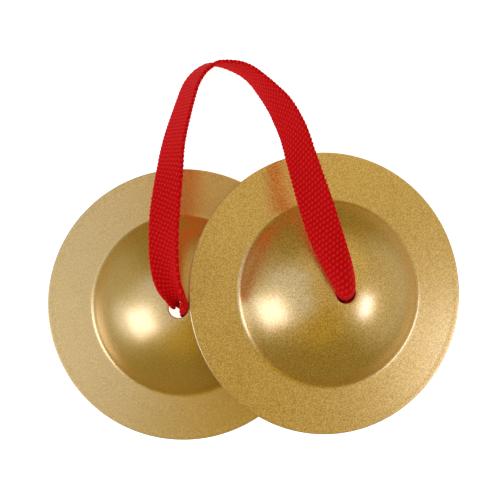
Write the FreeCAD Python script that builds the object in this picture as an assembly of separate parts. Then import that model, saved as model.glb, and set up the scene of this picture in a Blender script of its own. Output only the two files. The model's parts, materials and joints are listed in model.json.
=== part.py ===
"""Pair of finger cymbals joined by one webbing strap.

Millimetres, +Z up. The rear cymbal lies on its rim, the front one leans on the rear
one's dome, and the strap runs from hole to hole in an arch beyond both rims. Its ends
pass down through the holes and are knotted inside the bells. The origin is on the
resting plane, under the middle of the box that holds the two cymbals.
"""
import FreeCAD, Part
import math
import os

V = FreeCAD.Vector

# ---- cymbals: two pressings from one die
CYMBAL_DIAMETER = 90.0
SHEET = 1.0
RIM_LAND = 1.5            # flat ring that the cymbal rests on
RIM_ROUND = 0.3
DOME_BASE_DIAMETER = 58.8
FLANGE_RISE = 0.8         # how far the flange climbs from the land to the dome
DOME_TOP = 18.0           # outside of the dome above the resting plane
CREASE_FILLET = 2.5
HOLE_DIAMETER = 6.0

# ---- how the pair lies
SPREAD_X = 47.3           # from the rear cymbal's centre to the front one's
SPREAD_Y = 4.5
LEAN_HEADING = 11.0       # degrees, which way the front cymbal faces as it leans
REST_GAP = 0.3            # between the cymbals, and under the front one's rim
FLANGE_RINGS = 6          # rings of the flange that are tried against the dome

# ---- strap: flat webbing
STRAP_WIDTH = 11.0
STRAP_THICKNESS = 1.2
NECK_GAP = 0.38           # from the corners of the bunched webbing to the edge of its hole
NECK_BELOW = 0.8          # how far the neck reaches below the middle of the sheet
NECK_ABOVE = 3.3          # straight stretch above it, before it folds over the dome
FOLD_LENGTH = 12.0        # of strap over which the neck opens out to the full width
BEND_GAP = 0.45           # each half of the strap stops this short of the bend
ARC_SHARE = 0.45          # an arc takes this share of the shorter run beside it
ARC_STEPS = 4
RUN_STEPS = 3

# ---- knots and tails
KNOT_DIAMETER = 13.0
KNOT_HEIGHT = 12.5
KNOT_ROUND = 4.0
SEAT_GAP = 0.3            # between a knot and the inside of its dome
SOCKET_GAP = 0.7          # between the end of the neck and the hollow that it flexes in
TAIL_LENGTH = 16.0
TAIL_START = 4.5          # from the knot's axis
TAIL_RISE = 4.8           # of the tail's root above the bottom of the knot
TAIL_DROOP = 17.0         # degrees below level
REAR_TAIL_HEADING = -25.0
FRONT_TAIL_HEADING = 10.0

RADIUS = CYMBAL_DIAMETER / 2
DOME_BASE = DOME_BASE_DIAMETER / 2
PIVOT_HEIGHT = DOME_TOP - SHEET / 2


# ---- cymbal profile

def dome_radius():
    """Outside radius of the dome, from its base circle and its height."""
    height = DOME_TOP - SHEET - FLANGE_RISE
    return (DOME_BASE ** 2 + height ** 2) / (2 * height)


def dome_centre():
    return DOME_TOP - dome_radius()


def flange_slope():
    return math.atan(FLANGE_RISE / (RADIUS - RIM_LAND - DOME_BASE))


def crease_centre():
    """Centre of the round between flange and dome, as radius and height."""
    slope = flange_slope()
    reach = dome_radius() + CREASE_FILLET
    # a line one fillet radius above the flange, met by a circle one fillet radius outside the dome
    start_r = RADIUS - RIM_LAND + CREASE_FILLET * math.sin(slope)
    start_z = SHEET + CREASE_FILLET * math.cos(slope) - dome_centre()
    along = start_r * math.cos(slope) - start_z * math.sin(slope)
    run = along - math.sqrt(along ** 2 - (start_r ** 2 + start_z ** 2 - reach ** 2))
    r = start_r - run * math.cos(slope)
    z = start_z + run * math.sin(slope) + dome_centre()
    return r, z


def surface_points(depth):
    """Land corner, crease start, crease middle, crease end, dome middle and hole edge, on the
    surface that lies depth below the outside of the sheet."""
    slope = flange_slope()
    zc = dome_centre()
    cr, cz = crease_centre()
    fillet = CREASE_FILLET + depth
    dome = dome_radius() - depth
    corner_r = RADIUS - RIM_LAND - depth * math.tan(slope / 2)
    flange_angle = math.atan2(-math.cos(slope), -math.sin(slope))
    dome_angle = math.atan2(zc - cz, -cr)
    if dome_angle > 0:
        dome_angle -= 2 * math.pi
    middle = (flange_angle + dome_angle) / 2
    hole = HOLE_DIAMETER / 2
    half = (math.asin(cr / (dome_radius() + CREASE_FILLET)) + math.asin(hole / dome)) / 2
    points = [(corner_r, SHEET - depth)]
    for angle in (flange_angle, middle, dome_angle):
        points.append((cr + fillet * math.cos(angle), cz + fillet * math.sin(angle)))
    points.append((dome * math.sin(half), zc + dome * math.cos(half)))
    points.append((hole, zc + math.sqrt(dome ** 2 - hole ** 2)))
    return [V(r, 0, z) for r, z in points]


def cymbal():
    """One pressed disc, standing on its rim with its axis on Z."""
    top = surface_points(0)
    low = surface_points(SHEET)
    rim = V(RADIUS, 0, SHEET)
    foot = V(RADIUS, 0, 0)
    inset = V(RIM_ROUND, 0, 0)
    rise = V(0, 0, RIM_ROUND)
    bulge = RIM_ROUND * (1 - math.sqrt(0.5))
    edges = [
        Part.LineSegment(rim - inset, top[0]),
        Part.LineSegment(top[0], top[1]),
        Part.Arc(top[1], top[2], top[3]),
        Part.Arc(top[3], top[4], top[5]),
        Part.LineSegment(top[5], low[5]),
        Part.Arc(low[5], low[4], low[3]),
        Part.Arc(low[3], low[2], low[1]),
        Part.LineSegment(low[1], low[0]),
        Part.LineSegment(low[0], foot - inset),
        Part.Arc(foot - inset, foot + V(-bulge, 0, bulge), foot + rise),
        Part.LineSegment(foot + rise, rim - rise),
        Part.Arc(rim - rise, rim + V(-bulge, 0, -bulge), rim - inset),
    ]
    wire = Part.Wire([edge.toShape() for edge in edges])
    return Part.Face(wire).revolve(V(0, 0, 0), V(0, 0, 1), 360)


# ---- where the cymbals lie

def front_axis(lean):
    heading = math.radians(LEAN_HEADING)
    side = math.sin(lean)
    return V(side * math.cos(heading), side * math.sin(heading), math.cos(lean))


def lean_gap(lean):
    """Distance from the rear dome to the underside of the front flange, at a trial lean."""
    axis = front_axis(lean)
    across = V(0, 0, 1).cross(axis).normalize()
    down = across.cross(axis)
    middle = V(SPREAD_X, SPREAD_Y, REST_GAP + RADIUS * math.sin(lean))
    ball = V(0, 0, dome_centre())
    corner = RADIUS - RIM_LAND
    rings = [(RADIUS, 0.0)]
    for step in range(FLANGE_RINGS + 1):
        share = step / FLANGE_RINGS
        rings.append((corner + (DOME_BASE - corner) * share, FLANGE_RISE * share))
    nearest = 2 * RADIUS
    for edge, height in rings:
        for step in range(360):
            turn = math.radians(step)
            spoke = across * math.cos(turn) + down * math.sin(turn)
            point = middle + spoke * edge + axis * height
            nearest = min(nearest, (point - ball).Length - dome_radius())
    return nearest


def resting_lean():
    """Least lean at which the front flange clears the rear dome by the resting gap."""
    low = 0.0
    high = math.radians(40)
    for _ in range(40):
        middle = (low + high) / 2
        if lean_gap(middle) < REST_GAP:
            low = middle
        else:
            high = middle
    return high


LEAN = resting_lean()
AXIS = front_axis(LEAN)


def lying_places():
    """Rim-plane centres of the two cymbals, with the middle of their box over the origin."""
    reach_x = RADIUS * math.sqrt(1 - AXIS.x ** 2) + SHEET * AXIS.x
    reach_y = RADIUS * math.sqrt(1 - AXIS.y ** 2) + SHEET * AXIS.y
    rear = V((RADIUS - SPREAD_X - reach_x) / 2, (RADIUS - SPREAD_Y - reach_y) / 2, 0)
    front = rear + V(SPREAD_X, SPREAD_Y, REST_GAP + RADIUS * math.sin(LEAN))
    return rear, front


REAR_PLACE, FRONT_PLACE = lying_places()
REAR_PIVOT = REAR_PLACE + V(0, 0, PIVOT_HEIGHT)
FRONT_PIVOT = FRONT_PLACE + AXIS * PIVOT_HEIGHT


def lay(shape, place, axis):
    """Move a shape made on the Z axis to a cymbal's place and lean."""
    moved = shape.copy()
    lying = FreeCAD.Placement(place, FreeCAD.Rotation(V(0, 0, 1), axis))
    moved.Placement = lying.multiply(moved.Placement)
    return moved


# ---- strap

BEND = V(-12.2, 76.0, 5.9)        # where the strap stands on its edge and bends
BEND_RUN = V(4.2, 0.8, 0)         # half of the level run through the bend

# Each half of the strap, from its hole to the bend: a place, and the turn of the webbing
# about its own line, where 0 is face up and 90 stands on edge with the right edge up.
# Places over a dome are given from the middle of its hole.
REAR_ROUTE = [
    (REAR_PIVOT - V(0, 0, NECK_BELOW), 0),
    (REAR_PIVOT + V(0, 0, NECK_ABOVE), 0),
    (REAR_PIVOT + V(-1.0, 3.6, 5.5), 4),
    (REAR_PIVOT + V(-2.6, 9.2, 6.4), 14),
    (V(-27.1, 15.6, 24.7), 27),
    (V(-27.0, 27.2, 26.4), 34),
    (V(-25.7, 38.6, 25.3), 43),
    (V(-24.2, 49.6, 20.8), 54),
    (V(-22.2, 60.8, 14.3), 66),
    (V(-19.4, 70.4, 8.4), 78),
    (BEND - BEND_RUN, 87),
    (BEND, 90),
]
FRONT_ROUTE = [
    (FRONT_PIVOT - AXIS * NECK_BELOW, 0),
    (FRONT_PIVOT + AXIS * NECK_ABOVE, 0),
    (FRONT_PIVOT + V(-0.8, 4.3, 4.8), 0),
    (FRONT_PIVOT + V(-3.2, 8.9, 5.1), 1),
    (V(20.7, 20.3, 31.6), 6),
    (V(17.5, 29.4, 31.9), 14),
    (V(14.5, 40.4, 30.3), 24),
    (V(11.7, 50.6, 26.2), 33),
    (V(8.3, 59.4, 20.6), 43),
    (V(4.1, 67.4, 14.4), 57),
    (V(-1.4, 73.7, 9.4), 72),
    (BEND + BEND_RUN, 85),
    (BEND, 90),
]


def rounded_line(places):
    """Straight runs joined by tangent arcs: (point, direction, place number) along the line."""
    line = [(places[0], (places[1] - places[0]).normalize(), 0.0)]
    radii = []
    for i in range(1, len(places) - 1):
        before = places[i] - places[i - 1]
        after = places[i + 1] - places[i]
        turn = before.getAngle(after)
        cut = ARC_SHARE * min(before.Length, after.Length)
        radii.append(round(cut / math.tan(turn / 2), 1))
        before.normalize()
        after.normalize()
        start = places[i] - before * cut
        centre = places[i] + (after - before).normalize() * (cut / math.sin(turn / 2))
        for step in range(ARC_STEPS + 1):
            share = step / ARC_STEPS
            swing = FreeCAD.Rotation(before.cross(after), math.degrees(turn * share))
            point = centre + swing.multVec(start - centre)
            line.append((point, swing.multVec(before), i - 0.5 + share))
    line.append((places[-1], (places[-1] - places[-2]).normalize(), len(places) - 1.0))
    return line, radii


def with_run_steps(line):
    """Add places along each straight run, so that the twist of the webbing is gradual."""
    full = [line[0]]
    for (point, along, place), (end, heading, end_place) in zip(line, line[1:]):
        steps = RUN_STEPS if along.getAngle(heading) < 1e-4 else 1
        for step in range(1, steps + 1):
            share = step / steps
            full.append((point + (end - point) * share, heading, place + (end_place - place) * share))
    return full


def section(point, along, level, turn, opened):
    """Outline of the webbing across its line; opened is 0 in the hole and 1 at full width."""
    neck = (HOLE_DIAMETER / 2 - NECK_GAP) * math.sqrt(2)
    width = neck + (STRAP_WIDTH - neck) * opened
    area = neck ** 2 + (STRAP_WIDTH * STRAP_THICKNESS - neck ** 2) * opened
    flat = (level - along * level.dot(along)).normalize()
    upright = flat.cross(along)
    across = (flat * math.cos(turn) + upright * math.sin(turn)) * (width / 2)
    through = along.cross(across).normalize() * (area / width / 2)
    corners = [point + across + through, point - across + through,
               point - across - through, point + across - through]
    return Part.makePolygon(corners + corners[:1])


def webbing(route):
    """Closed solid of flat webbing along a route, bunched into its hole at the start."""
    places = [place for place, turn in route]
    turns = [math.radians(turn) for place, turn in route]
    away = (places[-2] - places[-1]).normalize()
    places[-1] = places[-1] + away * BEND_GAP
    line, radii = rounded_line(places)
    line = with_run_steps(line)
    first_run = places[3] - places[1]
    level = V(first_run.y, -first_run.x, 0).normalize()
    length = 0.0
    before = places[0]
    wires = []
    for point, along, place in line:
        length += (point - before).Length
        before = point
        if length > FOLD_LENGTH:
            level = V(along.y, -along.x, 0).normalize()
        first = min(int(place), len(route) - 2)
        turn = turns[first] + (turns[first + 1] - turns[first]) * (place - first)
        opened = min(1.0, length / FOLD_LENGTH)
        wires.append(section(point, along, level, turn, opened * opened * (3 - 2 * opened)))
    solid = Part.makeLoft(wires, True, True)
    if solid.Volume < 0:
        solid.reverse()
    print("arc radii", radii, "length", round(length, 1), "volume", round(solid.Volume, 1),
          "section x length", round(STRAP_WIDTH * STRAP_THICKNESS * length, 1))
    return solid


# ---- knots and tails

KNOT_TOP = DOME_TOP - SHEET - SEAT_GAP
KNOT_FOOT = KNOT_TOP - KNOT_HEIGHT


def knot():
    """Knot of the webbing, seated against the inside of the dome, on the cymbal's axis."""
    radius = KNOT_DIAMETER / 2
    flat = radius - KNOT_ROUND
    bulge = flat + KNOT_ROUND * math.sqrt(0.5)
    lift = KNOT_ROUND * (1 - math.sqrt(0.5))
    low_side = V(radius, 0, KNOT_FOOT + KNOT_ROUND)
    high_side = V(radius, 0, KNOT_TOP - KNOT_ROUND)
    edges = [
        Part.LineSegment(V(0, 0, KNOT_FOOT), V(flat, 0, KNOT_FOOT)),
        Part.Arc(V(flat, 0, KNOT_FOOT), V(bulge, 0, KNOT_FOOT + lift), low_side),
        Part.LineSegment(low_side, high_side),
        Part.Arc(high_side, V(bulge, 0, KNOT_TOP - lift), V(flat, 0, KNOT_TOP)),
        Part.LineSegment(V(flat, 0, KNOT_TOP), V(0, 0, KNOT_TOP)),
        Part.LineSegment(V(0, 0, KNOT_TOP), V(0, 0, KNOT_FOOT)),
    ]
    wire = Part.Wire([edge.toShape() for edge in edges])
    body = Part.Face(wire).revolve(V(0, 0, 0), V(0, 0, 1), 360)
    under_dome = Part.makeSphere(dome_radius() - SHEET - SEAT_GAP, V(0, 0, dome_centre()))
    floor = PIVOT_HEIGHT - NECK_BELOW - SOCKET_GAP
    socket = Part.makeCylinder(HOLE_DIAMETER / 2, DOME_TOP - floor, V(0, 0, floor))
    return body.common(under_dome).cut(socket)


def tail(heading):
    """Free end of the webbing, from inside the knot out and down under the dome."""
    strip = Part.makeBox(TAIL_LENGTH, STRAP_WIDTH, STRAP_THICKNESS, V(0, -STRAP_WIDTH / 2, 0))
    strip.rotate(V(0, 0, 0), V(0, 1, 0), TAIL_DROOP)
    strip.translate(V(TAIL_START, 0, KNOT_FOOT + TAIL_RISE))
    strip.rotate(V(0, 0, 0), V(0, 0, 1), heading)
    return strip


# ---- build

UPRIGHT = V(0, 0, 1)
NODES = {
    "rear_cymbal": lay(cymbal(), REAR_PLACE, UPRIGHT),
    "front_cymbal": lay(cymbal(), FRONT_PLACE, AXIS),
    "strap_rear_half": webbing(REAR_ROUTE),
    "strap_front_half": webbing(FRONT_ROUTE),
    "rear_knot": lay(knot(), REAR_PLACE, UPRIGHT),
    "front_knot": lay(knot(), FRONT_PLACE, AXIS),
    "rear_tail": lay(tail(REAR_TAIL_HEADING), REAR_PLACE, UPRIGHT),
    "front_tail": lay(tail(FRONT_TAIL_HEADING), FRONT_PLACE, AXIS),
}

os.makedirs("parts", exist_ok=True)
print("front axis", AXIS, "lean", round(math.degrees(LEAN), 3))
print("rear hole", REAR_PIVOT, "front hole", FRONT_PIVOT)
for name, shape in NODES.items():
    print(name, "valid", shape.isValid(), "solids", len(shape.Solids), "volume", round(shape.Volume, 1))
    shape.exportStep("parts/" + name + ".step")
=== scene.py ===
import bpy
import json
import math
import numpy as np
from mathutils import Matrix, Vector


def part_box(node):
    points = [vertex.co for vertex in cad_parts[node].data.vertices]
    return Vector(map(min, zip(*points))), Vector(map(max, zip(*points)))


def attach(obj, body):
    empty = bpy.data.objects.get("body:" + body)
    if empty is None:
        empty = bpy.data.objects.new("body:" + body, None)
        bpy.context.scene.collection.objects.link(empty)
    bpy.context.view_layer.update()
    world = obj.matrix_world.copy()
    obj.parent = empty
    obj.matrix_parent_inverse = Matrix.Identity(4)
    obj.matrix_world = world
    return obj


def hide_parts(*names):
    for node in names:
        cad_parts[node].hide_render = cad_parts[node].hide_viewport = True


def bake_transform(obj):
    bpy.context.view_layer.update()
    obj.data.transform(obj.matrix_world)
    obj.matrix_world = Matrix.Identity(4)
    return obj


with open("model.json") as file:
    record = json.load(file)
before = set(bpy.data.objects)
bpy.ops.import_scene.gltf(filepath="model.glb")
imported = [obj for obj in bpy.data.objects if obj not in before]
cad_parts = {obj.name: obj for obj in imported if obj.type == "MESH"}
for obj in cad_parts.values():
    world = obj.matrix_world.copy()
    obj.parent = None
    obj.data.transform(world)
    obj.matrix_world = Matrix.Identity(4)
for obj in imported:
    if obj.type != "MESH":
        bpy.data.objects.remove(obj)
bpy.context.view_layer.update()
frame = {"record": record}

joints = {joint["name"]: joint for joint in frame["record"]["behaviour"]["joints"]}

# ---- Camera: looks straight down on the pair as it lies on the table, from hand height,
# with the strap's arch towards the top of the frame.
camera_height = 0.250
camera_aside = (0.0222, 0.0181)      # from the middle of the rear cymbal
rear_low, rear_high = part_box("rear_cymbal")
rear_middle = (rear_low + rear_high) / 2
camera_data = bpy.data.cameras.new("camera")
camera_data.sensor_width = 36
camera_data.lens = 54
camera_data.clip_start = 0.01
camera = bpy.data.objects.new("camera", camera_data)
camera.location = (rear_middle.x + camera_aside[0], rear_middle.y + camera_aside[1],
                   camera_height)
bpy.context.scene.collection.objects.link(camera)
bpy.context.scene.camera = camera
bpy.context.scene.view_settings.view_transform = "Standard"

# ---- Strap: flat polyester webbing, 11 mm wide, plain woven in nine warp ribs. It comes up
# through the rear hole, arches round on its edge beyond the rims and goes down the front
# hole; it is curled lengthwise where it passes through each hole.
strap_width = 0.0110
strap_thickness = 0.0012
warp_ribs = 9
row_pitch = 0.00140          # from one row of raised warp floats to the next
row_skew = 2.4               # pitches, from one selvedge to the other
float_height = 0.00020
row_share = 0.4              # of the relief that runs in rows, the rest being single floats
row_wander = 0.09            # pitches that each rib's rows stray
wander_length = 0.0019
rib_phase = 4.1
selvedge_scallop = 0.00024
scallop_lengths = (0.0013, 0.0037)   # over which the scallops grow and fade
selvedge_thickness = 0.25    # share of the full thickness left at a selvedge
row_step = 0.00020
steps_a_rib = 4
# Reds of the webbing by the height of its weave: the low places between floats are painted darker
# as shade, and the raised floats are painted lighter and pinker as a highlight. The melted end of
# a tail, flattened to no relief, takes the darkest of them.
webbing_reds_shade_and_highlight = [(0.0, (0.40, 0.0004, 0.0004, 1)), (0.4, (0.60, 0.0008, 0.0008, 1)),
                (1.0, (0.92, 0.0180, 0.0170, 1))]

rear_hole = Vector(joints["rear_spin"]["pos_m"])
front_hole = Vector(joints["front_spin"]["pos_m"])
front_axis = Vector(joints["front_spin"]["axis"]).normalized()
bend_place = Vector(joints["strap_bend"]["pos_m"])

# a place, the turn of the webbing about its line (0 and 180 are face up, 90 stands on
# edge), and how far it is curled lengthwise into a gutter, in degrees
strap_route = [
    (rear_hole + Vector((0.0006, 0.0006, -0.0024)), 45, 290),
    (rear_hole + Vector((0.0005, 0.0010, 0.0030)), 45, 278),
    (rear_hole + Vector((-0.0003, 0.0043, 0.0056)), 36, 175),
    (rear_hole + Vector((-0.0027, 0.0091, 0.0064)), 30, 105),
    (Vector((-0.0271, 0.0150, 0.0247)), 31, 34),
    (Vector((-0.0267, 0.0262, 0.0264)), 30, 10),
    (Vector((-0.0254, 0.0380, 0.0253)), 37, 6),
    (Vector((-0.0248, 0.0482, 0.0208)), 46, 4),
    (Vector((-0.0223, 0.0604, 0.0143)), 53, 4),
    (Vector((-0.0197, 0.0708, 0.0084)), 58, 2),
    (bend_place + Vector((-0.0030, 0.0000, 0)), 69, 1),
    (bend_place + Vector((0.0018, 0.0004, 0)), 84, -1),
    (Vector((-0.0023, 0.0732, 0.0094)), 101, -2),
    (Vector((0.0033, 0.0668, 0.0144)), 112, -4),
    (Vector((0.0089, 0.0585, 0.0206)), 130, -4),
    (Vector((0.0121, 0.0504, 0.0262)), 135, -4),
    (Vector((0.0143, 0.0412, 0.0303)), 140, -6),
    (Vector((0.0178, 0.0299, 0.0319)), 150, -10),
    (Vector((0.0206, 0.0204, 0.0316)), 155, 60),
    (front_hole + Vector((-0.0027, 0.0070, 0.0051)), 163, 165),
    (front_hole + Vector((-0.0011, 0.0037, 0.0044)), 170, 205),
    (front_hole + Vector((-0.0001, 0.0008, 0.0026)), 176, 270),
    (front_hole + Vector((-0.0002, 0.0002, -0.0028)), 178, 290),
]


def new_material(name):
    material = bpy.data.materials.new(name)
    material.use_nodes = True
    return material, material.node_tree, material.node_tree.nodes["Principled BSDF"]


webbing_material, tree, surface = new_material("red_webbing")
surface.inputs["Roughness"].default_value = 0.78
surface.inputs["Specular IOR Level"].default_value = 0.06
surface.inputs["Sheen Weight"].default_value = 0.01
surface.inputs["Sheen Roughness"].default_value = 0.4
thread_height = tree.nodes.new("ShaderNodeAttribute")
thread_height.attribute_name = "relief"
thread_place = tree.nodes.new("ShaderNodeAttribute")
thread_place.attribute_name = "thread_place"
fibre = tree.nodes.new("ShaderNodeTexNoise")
fibre.inputs["Scale"].default_value = 2600
fibre.inputs["Detail"].default_value = 4
tree.links.new(thread_place.outputs["Vector"], fibre.inputs["Vector"])
# The ramp paints shade into the low places of the weave and a highlight onto its raised floats.
shade = tree.nodes.new("ShaderNodeValToRGB")
stops = shade.color_ramp.elements
stops.new(0.5)
for stop, (place_on_ramp, red) in zip(stops, webbing_reds_shade_and_highlight):
    stop.position = place_on_ramp
    stop.color = red
tree.links.new(thread_height.outputs["Fac"], shade.inputs["Fac"])
dyed = tree.nodes.new("ShaderNodeHueSaturation")
dye = tree.nodes.new("ShaderNodeMapRange")
dye.inputs["To Min"].default_value = 0.85
dye.inputs["To Max"].default_value = 1.15
tree.links.new(fibre.outputs["Fac"], dye.inputs["Value"])
tree.links.new(dye.outputs["Result"], dyed.inputs["Value"])
tree.links.new(shade.outputs["Color"], dyed.inputs["Color"])
tree.links.new(dyed.outputs["Color"], surface.inputs["Base Color"])
fuzz = tree.nodes.new("ShaderNodeBump")
fuzz.inputs["Strength"].default_value = 0.35
fuzz.inputs["Distance"].default_value = 0.00006
tree.links.new(fibre.outputs["Fac"], fuzz.inputs["Height"])
tree.links.new(fuzz.outputs["Normal"], surface.inputs["Normal"])


def spline_points(places, name):
    """Points of the smooth line that a route's places pull towards themselves."""
    curve = bpy.data.curves.new(name, "CURVE")
    curve.dimensions = "3D"
    curve.resolution_u = 24
    spline = curve.splines.new("NURBS")
    spline.points.add(len(places) - 1)
    for point, place in zip(spline.points, places):
        point.co = (*place, 1)
    spline.order_u = 3
    spline.use_endpoint_u = True
    line = bpy.data.objects.new(name, curve)
    bpy.context.scene.collection.objects.link(line)
    mesh = bpy.data.meshes.new_from_object(line)
    points = np.array([vertex.co for vertex in mesh.vertices])
    bpy.data.meshes.remove(mesh)
    bpy.data.objects.remove(line)
    bpy.data.curves.remove(curve)
    return points


def even_line(points, step):
    """The same line with places step apart, and how far along each one is."""
    gaps = np.linalg.norm(np.diff(points, axis=0), axis=1)
    reach = np.concatenate([[0], np.cumsum(gaps)])
    count = int(round(reach[-1] / step)) + 1
    along = np.linspace(0, reach[-1], count)
    line = np.stack([np.interp(along, reach, points[:, k]) for k in range(3)], axis=1)
    return line, along


def spread_values(places, values, along):
    """Values given at a route's places, spread smoothly along its line."""
    places = np.array([list(place) for place in places])
    gaps = np.linalg.norm(np.diff(places, axis=0), axis=1)
    reach = np.concatenate([[0], np.cumsum(gaps)])
    spread = np.interp(along / along[-1], reach / reach[-1], values)
    window = max(3, len(along) // 60) | 1
    padded = np.pad(spread, window // 2, mode="edge")
    return np.convolve(padded, np.ones(window) / window, mode="valid")


def unit(vectors):
    return vectors / np.linalg.norm(vectors, axis=-1, keepdims=True)


def webbing_mesh(name, line, along, turns, curls, width=strap_width, ribs=warp_ribs, seal=0):
    """Woven webbing along a line: warp ribs that float in rows on both faces, between two
    scalloped selvedges. The weave is melted flat over the last seal metres."""
    heading = unit(np.gradient(line, axis=0))
    level = np.cross(heading, (0, 0, 1))
    # near a steep stretch the level direction is borrowed from the nearest flatter place
    flat_enough = np.flatnonzero(np.linalg.norm(level, axis=1) > 0.75)
    for i in range(len(level)):
        level[i] = level[flat_enough[np.argmin(abs(flat_enough - i))]]
    level = unit(level - heading * (level * heading).sum(1, keepdims=True))
    upright = np.cross(level, heading)
    turn = np.radians(turns)[:, None]
    across = level * np.cos(turn) + upright * np.sin(turn)
    through = np.cross(across, heading)

    face = np.linspace(-1, 1, ribs * steps_a_rib + 1)
    u = np.concatenate([face, face[::-1]])[None, :]
    side = np.concatenate([np.ones(len(face)), -np.ones(len(face))])[None, :]
    rib = (u + 1) / 2 * ribs
    row = along[:, None] / row_pitch + row_skew * (u + 1) / 2
    row = row + row_wander * np.sin(along[:, None] / wander_length + rib_phase * np.floor(rib))
    rows_up = 0.5 + 0.5 * np.cos(2 * math.pi * row)
    floats_up = 0.5 + 0.5 * np.cos(math.pi * row) * np.cos(2 * math.pi * rib)
    woven = np.clip((along[-1] - along[:, None]) / seal, 0, 1) if seal else 1
    relief = (row_share * rows_up + (1 - row_share) * floats_up) * woven
    edge_round = np.clip((1 - abs(u)) * ribs * 1.4, 0, 1) ** 0.5
    short, long = (np.sin(along[:, None] / length) for length in scallop_lengths)
    uneven = 0.65 + 0.35 * short * long
    scallop = selvedge_scallop * uneven * np.cos(2 * math.pi * row)
    scallop = scallop * np.clip(abs(u) * 8 - 7, 0, 1) * woven

    # the section is bowed to a part of a circle; a curl of nothing would have no radius
    curl = np.radians(curls)[:, None]
    curl = np.where(curl < 0, -1, 1) * np.maximum(abs(curl), 0.01)
    radius = width / curl
    bow = u * curl / 2
    plump = selvedge_thickness + (1 - selvedge_thickness) * edge_round
    out = side * (plump * strap_thickness / 2 + float_height * (relief - 0.4))
    ring = radius - out
    sideways = ring * np.sin(bow) + scallop * np.sign(u) * np.cos(bow)
    upwards = radius - ring * np.cos(bow) - radius * (1 - np.cos(curl / 2)) / 2
    points = (line[:, None, :] + across[:, None, :] * sideways[:, :, None]
              + through[:, None, :] * upwards[:, :, None])

    rows, ring_count = points.shape[:2]
    corner = np.arange(rows - 1)[:, None] * ring_count + np.arange(ring_count)[None, :]
    beside = np.roll(corner, -1, axis=1)
    faces = np.stack([corner, beside, beside + ring_count, corner + ring_count], axis=-1)
    faces = faces.reshape(-1, 4).tolist()
    caps = [list(range(ring_count))[::-1], list(range((rows - 1) * ring_count, rows * ring_count))]
    mesh = bpy.data.meshes.new(name)
    mesh.from_pydata(points.reshape(-1, 3).tolist(), [], faces + caps)
    mesh.update()
    # The relief also goes to the material, where it sets the painted shade and highlight of the
    # weave.
    lift = mesh.attributes.new("relief", "FLOAT", "POINT")
    lift.data.foreach_set("value", relief.astype(np.float32).ravel())
    place = mesh.attributes.new("thread_place", "FLOAT_VECTOR", "POINT")
    spots = [u * width / 2 + 0 * row, along[:, None] + 0 * u, side * 0.001 + 0 * row]
    place.data.foreach_set("vector", np.stack(spots, axis=-1).astype(np.float32).ravel())
    mesh.shade_smooth()
    mesh.materials.append(webbing_material)
    return mesh


strap_places = [place for place, turn, curl in strap_route]
strap_line, strap_along = even_line(spline_points(strap_places, "strap_line"), row_step)
strap_turns, strap_curls = (
    spread_values(strap_places, [stop[column] for stop in strap_route], strap_along)
    for column in (1, 2))
strap = bpy.data.objects.new(
    "strap", webbing_mesh("strap", strap_line, strap_along, strap_turns, strap_curls))
bpy.context.scene.collection.objects.link(strap)
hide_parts("strap_rear_half", "strap_front_half")
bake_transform(strap)

# ---- Knots and tails: inside each bell the webbing is tied in one overhand knot, pulled up
# under the hole, and its cut end is melted to stop it fraying and left about 16 mm long.
dome_top = 0.0180
sheet = 0.0010
hole_height = dome_top - sheet / 2
knot_height = 0.0101         # of a knot's middle above its cymbal's rim
knot_radius = 0.0052
knot_rise = 0.0019
knot_band = 0.0066           # width of the webbing as folded in the knot
knot_ribs = 6
knot_curl = 30.0
knot_step = 0.0002
tail_seal = 0.0009
tail_curls = (70, 12)        # at the knot and at the cut end
# distance from the cymbal's axis and height over its rim
tail_places = [(0.0030, 0.0096), (0.0090, 0.0088), (0.0145, 0.0070), (0.0197, 0.0049)]


def knot_line():
    """Closed loop of the knot, crossing itself three times round the cymbal's axis."""
    round_angle = np.linspace(0, 2 * math.pi, 400)
    return np.stack([
        knot_radius / 3 * (np.sin(round_angle) + 2 * np.sin(2 * round_angle)),
        knot_radius / 3 * (np.cos(round_angle) - 2 * np.cos(2 * round_angle)),
        -knot_rise * np.sin(3 * round_angle)], axis=1)


cymbal_places = {
    "rear": (rear_hole - Vector((0, 0, hole_height)), Vector((0, 0, 1))),
    "front": (front_hole - front_axis * hole_height, front_axis),
}
knot_shifts = {"rear": Vector((0.0028, 0.0014, 0)), "front": Vector((-0.0012, -0.0012, 0))}
tail_headings = {"rear": -25, "front": 10}
for end, (place, axis) in cymbal_places.items():
    lean = Vector((0, 0, 1)).rotation_difference(axis).to_matrix().to_4x4()
    stand = Matrix.Translation(place) @ lean
    line, along = even_line(knot_line(), knot_step)
    band = webbing_mesh(end + "_knot_band", line, along, np.full(len(along), 90.0),
                        np.full(len(along), knot_curl), width=knot_band, ribs=knot_ribs)
    band.transform(stand @ Matrix.Translation(knot_shifts[end] + Vector((0, 0, knot_height))))
    knot = bpy.data.objects.new(end + "_knot_band", band)
    bpy.context.scene.collection.objects.link(knot)
    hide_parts(end + "_knot")
    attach(knot, end + "_knot")

    tail_line = spline_points([(r, 0, z) for r, z in tail_places], "tail_line")
    line, along = even_line(tail_line, row_step)
    strip = webbing_mesh(end + "_tail_strip", line, along, np.zeros(len(along)),
                         np.linspace(*tail_curls, len(along)), seal=tail_seal)
    strip.transform(stand @ Matrix.Rotation(math.radians(tail_headings[end]), 4, "Z"))
    tail = bpy.data.objects.new(end + "_tail_strip", strip)
    bpy.context.scene.collection.objects.link(tail)
    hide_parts(end + "_tail")
    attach(tail, end + "_knot")

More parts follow.
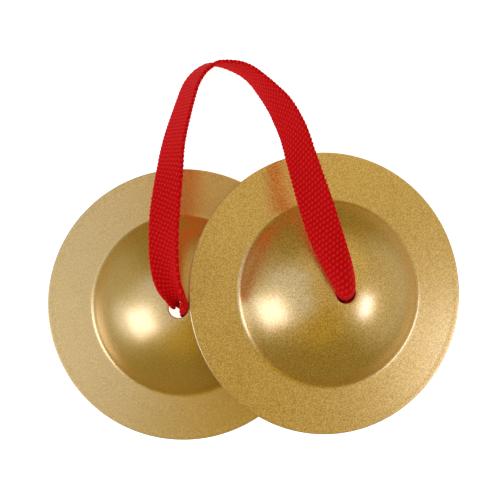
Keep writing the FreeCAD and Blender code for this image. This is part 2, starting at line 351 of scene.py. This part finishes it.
# ---- Cymbals: two pressings from one die in 1 mm sheet, each with a flat land round the
# rim, a slightly coned flange and a domed bell with a 6 mm hole, sprayed with a satin gold
# lacquer that carries a fine metal grain.
cymbal_radius = 0.0450
rim_land = 0.0015
rim_round = 0.00030
dome_base = 0.0294
flange_rise = 0.0008
crease_fillet = 0.0025
hole_radius = 0.0030
hole_edge_round = 0.0003
dome_steps, crease_steps, flange_steps = 44, 12, 14
spin_steps = 288
spin_radius = 0.001          # of the circle that the outline is carried round


def arc(middle, radius, start, end, count):
    """Places on an arc in the radius-height plane, between two angles in radians."""
    angles = np.linspace(start, end, count)
    return [(middle[0] + radius * math.cos(a), middle[1] + radius * math.sin(a)) for a in angles]


def face_outline(depth):
    """Dome, crease and flange on the surface that lies depth inside the sheet, hole to rim."""
    height = dome_top - sheet - flange_rise
    dome_radius = (dome_base ** 2 + height ** 2) / (2 * height)
    dome_centre = dome_top - dome_radius
    slope = math.atan(flange_rise / (cymbal_radius - rim_land - dome_base))
    reach = dome_radius + crease_fillet
    start_r = cymbal_radius - rim_land + crease_fillet * math.sin(slope)
    start_z = sheet + crease_fillet * math.cos(slope) - dome_centre
    across = start_r * math.cos(slope) - start_z * math.sin(slope)
    run = across - math.sqrt(across ** 2 - (start_r ** 2 + start_z ** 2 - reach ** 2))
    crease = (start_r - run * math.cos(slope), start_z + run * math.sin(slope) + dome_centre)
    dome_end = math.atan2(crease[1] - dome_centre, crease[0])
    radius = dome_radius - depth
    dome_start = math.acos((hole_radius + hole_edge_round) / radius)
    outline = arc((0, dome_centre), radius, dome_start, dome_end, dome_steps)
    outline += arc(crease, crease_fillet + depth,
                   dome_end + math.pi, 1.5 * math.pi - slope, crease_steps)[1:]
    land_r = cymbal_radius - rim_land - depth * math.tan(slope / 2)
    last = outline[-1]
    for share in np.linspace(0, 1, flange_steps)[1:]:
        outline.append((last[0] + (land_r - last[0]) * share,
                        last[1] + (sheet - depth - last[1]) * share))
    return outline


def cymbal_outline():
    """Closed outline of the sheet: out over the top, round the rim, back underneath."""
    top = face_outline(0)
    under = face_outline(sheet)
    rim_r = cymbal_radius - rim_round
    rim = arc((rim_r, sheet - rim_round), rim_round, math.pi / 2, 0, 6)
    rim += arc((rim_r, rim_round), rim_round, 0, -math.pi / 2, 6)
    hole_r = hole_radius + hole_edge_round
    hole = arc((hole_r, under[0][1] + hole_edge_round), hole_edge_round,
               1.5 * math.pi, math.pi, 5)[1:]
    hole += arc((hole_r, top[0][1] - hole_edge_round), hole_edge_round,
                math.pi, math.pi / 2, 5)[:-1]
    return top + rim + under[::-1] + hole


def spinning_tree():
    """Geometry Nodes that turn a closed outline on X and Z round the Z axis."""
    tree = bpy.data.node_groups.new("spin_pressing", "GeometryNodeTree")
    tree.interface.new_socket("Outline", in_out="INPUT", socket_type="NodeSocketGeometry")
    tree.interface.new_socket("Sides", in_out="INPUT", socket_type="NodeSocketInt")
    tree.interface.new_socket("Finish", in_out="INPUT", socket_type="NodeSocketMaterial")
    tree.interface.new_socket("Pressing", in_out="OUTPUT", socket_type="NodeSocketGeometry")
    nodes, links = tree.nodes, tree.links
    given = nodes.new("NodeGroupInput")
    outline = nodes.new("GeometryNodeMeshToCurve")
    links.new(given.outputs["Outline"], outline.inputs["Mesh"])
    circle = nodes.new("GeometryNodeCurvePrimitiveCircle")
    circle.inputs["Radius"].default_value = spin_radius
    links.new(given.outputs["Sides"], circle.inputs["Resolution"])
    sweep = nodes.new("GeometryNodeCurveToMesh")
    links.new(circle.outputs["Curve"], sweep.inputs["Curve"])
    links.new(outline.outputs["Curve"], sweep.inputs["Profile Curve"])
    upright = nodes.new("GeometryNodeTransform")
    upright.inputs["Rotation"].default_value = (math.pi, 0, 0)
    links.new(sweep.outputs["Mesh"], upright.inputs["Geometry"])
    smooth = nodes.new("GeometryNodeSetShadeSmooth")
    links.new(upright.outputs["Geometry"], smooth.inputs["Geometry"])
    real = nodes.new("GeometryNodeRealizeInstances")
    links.new(smooth.outputs["Geometry"], real.inputs["Geometry"])
    finish = nodes.new("GeometryNodeSetMaterial")
    links.new(real.outputs["Geometry"], finish.inputs["Geometry"])
    links.new(given.outputs["Finish"], finish.inputs["Material"])
    made = nodes.new("NodeGroupOutput")
    links.new(finish.outputs["Geometry"], made.inputs["Pressing"])
    return tree


def input_name(tree, label):
    """Identifier of a tree's input socket, which a modifier's input is set by."""
    return next(item.identifier for item in tree.interface.items_tree
                if item.in_out == "INPUT" and item.name == label)


# The paler gold on the rim and hole edges is partly lacquer rubbed thin and partly a painted
# highlight line along them.
gold = (0.90, 0.57, 0.100, 1)
deep_gold = (0.60, 0.33, 0.025, 1)
rubbed_gold_and_highlight = (0.80, 0.56, 0.20, 1)
flakes = {"rear": ("gold_lacquer_fine", 2.5), "front": ("gold_lacquer", 8)}


def grain_group():
    """Shader group for a sprayed lacquer with metal grain, rubbed thin along its edges, where the
    paler colour is also a painted highlight line.
    """
    group = bpy.data.node_groups.new("lacquer_grain", "ShaderNodeTree")
    for label, kind in (("Flake", "Float"), ("Deep Colour", "Color"),
                        ("Bright Colour", "Color"), ("Rubbed And Highlight Colour", "Color")):
        group.interface.new_socket(label, in_out="INPUT", socket_type="NodeSocket" + kind)
    for label, kind in (("Colour", "Color"), ("Roughness", "Float"), ("Normal", "Vector")):
        group.interface.new_socket(label, in_out="OUTPUT", socket_type="NodeSocket" + kind)
    nodes, links = group.nodes, group.links
    given = nodes.new("NodeGroupInput")
    made = nodes.new("NodeGroupOutput")
    spot = nodes.new("ShaderNodeTexCoord")
    grain = nodes.new("ShaderNodeTexNoise")
    grain.inputs["Scale"].default_value = 2400
    grain.inputs["Detail"].default_value = 3
    cloud = nodes.new("ShaderNodeTexNoise")
    cloud.inputs["Scale"].default_value = 60
    cloud.inputs["Detail"].default_value = 4
    both = nodes.new("ShaderNodeMix")
    both.inputs["Factor"].default_value = 0.94
    for noise, socket in ((cloud, "A"), (grain, "B")):
        links.new(spot.outputs["Object"], noise.inputs["Vector"])
        links.new(noise.outputs["Fac"], both.inputs[socket])
    about_mean = nodes.new("ShaderNodeMath")
    about_mean.operation = "SUBTRACT"
    about_mean.inputs[1].default_value = 0.5
    links.new(both.outputs["Result"], about_mean.inputs[0])
    stretch = nodes.new("ShaderNodeMath")
    stretch.operation = "MULTIPLY_ADD"
    stretch.use_clamp = True
    stretch.inputs[2].default_value = 0.5
    links.new(about_mean.outputs["Value"], stretch.inputs[0])
    links.new(given.outputs["Flake"], stretch.inputs[1])
    tint = nodes.new("ShaderNodeMix")
    tint.data_type = "RGBA"
    links.new(stretch.outputs["Value"], tint.inputs["Factor"])
    links.new(given.outputs["Deep Colour"], tint.inputs["A"])
    links.new(given.outputs["Bright Colour"], tint.inputs["B"])
    # Edges are mixed towards the paler colour: partly rubbed lacquer, partly a painted highlight
    # line.
    rubbed_and_highlight = nodes.new("ShaderNodeAttribute")
    rubbed_and_highlight.attribute_name = "edge_wear_and_highlight"
    edge = nodes.new("ShaderNodeMix")
    edge.data_type = "RGBA"
    links.new(rubbed_and_highlight.outputs["Fac"], edge.inputs["Factor"])
    links.new(tint.outputs["Result"], edge.inputs["A"])
    links.new(given.outputs["Rubbed And Highlight Colour"], edge.inputs["B"])
    links.new(edge.outputs["Result"], made.inputs["Colour"])
    gloss = nodes.new("ShaderNodeMapRange")
    gloss.inputs["To Min"].default_value = 0.29
    gloss.inputs["To Max"].default_value = 0.35
    links.new(stretch.outputs["Value"], gloss.inputs["Value"])
    links.new(gloss.outputs["Result"], made.inputs["Roughness"])
    texture = nodes.new("ShaderNodeBump")
    texture.inputs["Strength"].default_value = 0.25
    texture.inputs["Distance"].default_value = 0.00003
    links.new(grain.outputs["Fac"], texture.inputs["Height"])
    links.new(texture.outputs["Normal"], made.inputs["Normal"])
    return group


def lacquer(name, grain_tree, flake):
    """Satin gold lacquer over the metal; flake is how strongly its grain stands out."""
    material, tree, surface = new_material(name)
    surface.inputs["Metallic"].default_value = 0.75
    surface.inputs["Coat Weight"].default_value = 1.0
    surface.inputs["Coat IOR"].default_value = 1.9
    surface.inputs["Coat Roughness"].default_value = 0.25
    grain = tree.nodes.new("ShaderNodeGroup")
    grain.node_tree = grain_tree
    grain.inputs["Flake"].default_value = flake
    grain.inputs["Deep Colour"].default_value = deep_gold
    grain.inputs["Bright Colour"].default_value = gold
    grain.inputs["Rubbed And Highlight Colour"].default_value = rubbed_gold_and_highlight
    tree.links.new(grain.outputs["Colour"], surface.inputs["Base Color"])
    tree.links.new(grain.outputs["Roughness"], surface.inputs["Roughness"])
    tree.links.new(grain.outputs["Normal"], surface.inputs["Normal"])
    return material


grain_tree = grain_group()
finishes = {end: lacquer(name, grain_tree, flake) for end, (name, flake) in flakes.items()}
spin_tree = spinning_tree()
outline = cymbal_outline()
outline_mesh = bpy.data.meshes.new("cymbal_outline")
outline_mesh.from_pydata(
    [(r - spin_radius, z, 0) for r, z in outline],
    [(i, (i + 1) % len(outline)) for i in range(len(outline))], [])
# Rim and hole edges take the paler gold: rubbed lacquer, and a painted highlight line along the
# rounded edge.
edge_wear_and_highlight = outline_mesh.attributes.new("edge_wear_and_highlight", "FLOAT", "POINT")
edge_wear_and_highlight.data.foreach_set("value", [
    float(r > cymbal_radius - 0.9 * rim_round or r < hole_radius + 0.9 * hole_edge_round)
    for r, z in outline])
for end, (place, axis) in cymbal_places.items():
    node = end + "_cymbal"
    blank = bpy.data.objects.new(node + "_blank", outline_mesh)
    bpy.context.scene.collection.objects.link(blank)
    spin = blank.modifiers.new("spin", "NODES")
    spin.node_group = spin_tree
    spin[input_name(spin_tree, "Sides")] = spin_steps
    spin[input_name(spin_tree, "Finish")] = finishes[end]
    scene_state = bpy.context.evaluated_depsgraph_get()
    pressing = bpy.data.meshes.new_from_object(blank.evaluated_get(scene_state))
    bpy.data.objects.remove(blank)
    lean = axis.to_track_quat("Z", "Y").to_matrix().to_4x4()
    pressing.transform(Matrix.Translation(place) @ lean)
    pressing.flip_normals()
    pressing.set_sharp_from_angle(angle=math.radians(35))
    cymbal = bpy.data.objects.new(node + "_pressing", pressing)
    bpy.context.scene.collection.objects.link(cymbal)
    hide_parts(node)
    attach(cymbal, node)

# ---- Floor and light: a pale table top that gives off a little light of its own, two soft
# boxes, and a room of soft patches that only reflections and shading see; the camera sees
# a white backdrop instead of it, and reflections don't see the floor.
floor_half = 2.0
floor_drop = 0.0002
floor_mesh = bpy.data.meshes.new("floor")
floor_mesh.from_pydata(
    [(floor_half * x, floor_half * y, 0) for x, y in ((-1, -1), (1, -1), (1, 1), (-1, 1))],
    [], [(0, 1, 2, 3)])
floor = bpy.data.objects.new("floor", floor_mesh)
floor.location = (0, 0, -floor_drop)
floor.visible_glossy = False
bpy.context.scene.collection.objects.link(floor)
pale, tree, surface = new_material("pale_table")
surface.inputs["Base Color"].default_value = (0.85, 0.85, 0.85, 1)
surface.inputs["Roughness"].default_value = 0.9
surface.inputs["Emission Color"].default_value = (1, 1, 1, 1)
surface.inputs["Emission Strength"].default_value = 0.9
floor_mesh.materials.append(pale)

room_base = (0.21, 0.16, 0.03, 1)
world = bpy.data.worlds.new("studio")
world.use_nodes = True
tree = world.node_tree
sky = tree.nodes["Background"]
direction = tree.nodes.new("ShaderNodeTexCoord")
parts = tree.nodes.new("ShaderNodeSeparateXYZ")
tree.links.new(direction.outputs["Generated"], parts.inputs["Vector"])


def glow(toward, begin, full, color, under):
    """A soft patch of the room round a direction, laid over the colour under it. It starts
    begin degrees from that direction and is at its full colour within full degrees."""
    spread = tree.nodes.new("ShaderNodeVectorMath")
    spread.operation = "DOT_PRODUCT"
    spread.inputs[1].default_value = Vector(toward).normalized()
    tree.links.new(direction.outputs["Generated"], spread.inputs[0])
    rise = tree.nodes.new("ShaderNodeMapRange")
    rise.interpolation_type = "SMOOTHSTEP"
    rise.inputs["From Min"].default_value = math.cos(math.radians(begin))
    rise.inputs["From Max"].default_value = math.cos(math.radians(full))
    tree.links.new(spread.outputs["Value"], rise.inputs["Value"])
    mix = tree.nodes.new("ShaderNodeMix")
    mix.data_type = "RGBA"
    mix.inputs["B"].default_value = (*color, 1)
    tree.links.new(rise.outputs["Result"], mix.inputs["Factor"])
    if under is None:
        mix.inputs["A"].default_value = room_base
    else:
        tree.links.new(under.outputs["Result"], mix.inputs["A"])
    return mix


room = None
for toward, begin, full, color in (
        ((-1, 0, 0.15), 55, 20, (0.42, 0.42, 0.36)),
        ((1, 0, 0.15), 55, 20, (0.56, 0.55, 0.49)),
        ((0, 0, 1), 60, 15, (0.60, 0.54, 0.38)),
        ((0.42, 0.60, 0.70), 38, 12, (0.72, 0.69, 0.43)),
        ((0, -0.50, 0.85), 34, 12, (0.42, 0.31, 0.02)),
        ((-0.52, 0, 0.85), 35, 22, (0.73, 0.87, 1.32)),
        ((-0.92, -0.24, 0.32), 20, 7, (0.95, 1.20, 1.80)),
        ((-0.06, 0.09, 0.99), 9, 3, (0.44, 0.30, 0.06))):
    room = glow(toward, begin, full, color, room)
seen = tree.nodes.new("ShaderNodeLightPath")
backdrop = tree.nodes.new("ShaderNodeMix")
backdrop.data_type = "RGBA"
backdrop.inputs["B"].default_value = (1, 1, 1, 1)
tree.links.new(seen.outputs["Is Camera Ray"], backdrop.inputs["Factor"])
tree.links.new(room.outputs["Result"], backdrop.inputs["A"])
tree.links.new(backdrop.outputs["Result"], sky.inputs["Color"])
bpy.context.scene.world = world


def soft_box(name, toward, distance, size, height, brightness, tint):
    """A soft box that faces the pair from a direction, with its height across the table."""
    light = bpy.data.lights.new(name, "AREA")
    light.shape = "RECTANGLE"
    light.size = size
    light.size_y = height
    light.energy = brightness * math.pi * size * height
    light.color = tint
    box = bpy.data.objects.new(name, light)
    box.location = Vector(toward).normalized() * distance
    box.rotation_euler = (-Vector(toward)).to_track_quat("-Z", "Y").to_euler()
    bpy.context.scene.collection.objects.link(box)


soft_box("left_box", (-0.74, -0.32, 0.62), 1.2, 0.56, 0.62, 2.8, (0.86, 0.95, 1.62))
soft_box("right_box", (0.79, -0.20, 0.585), 1.2, 0.40, 0.24, 5.3, (0.86, 1.02, 1.90))
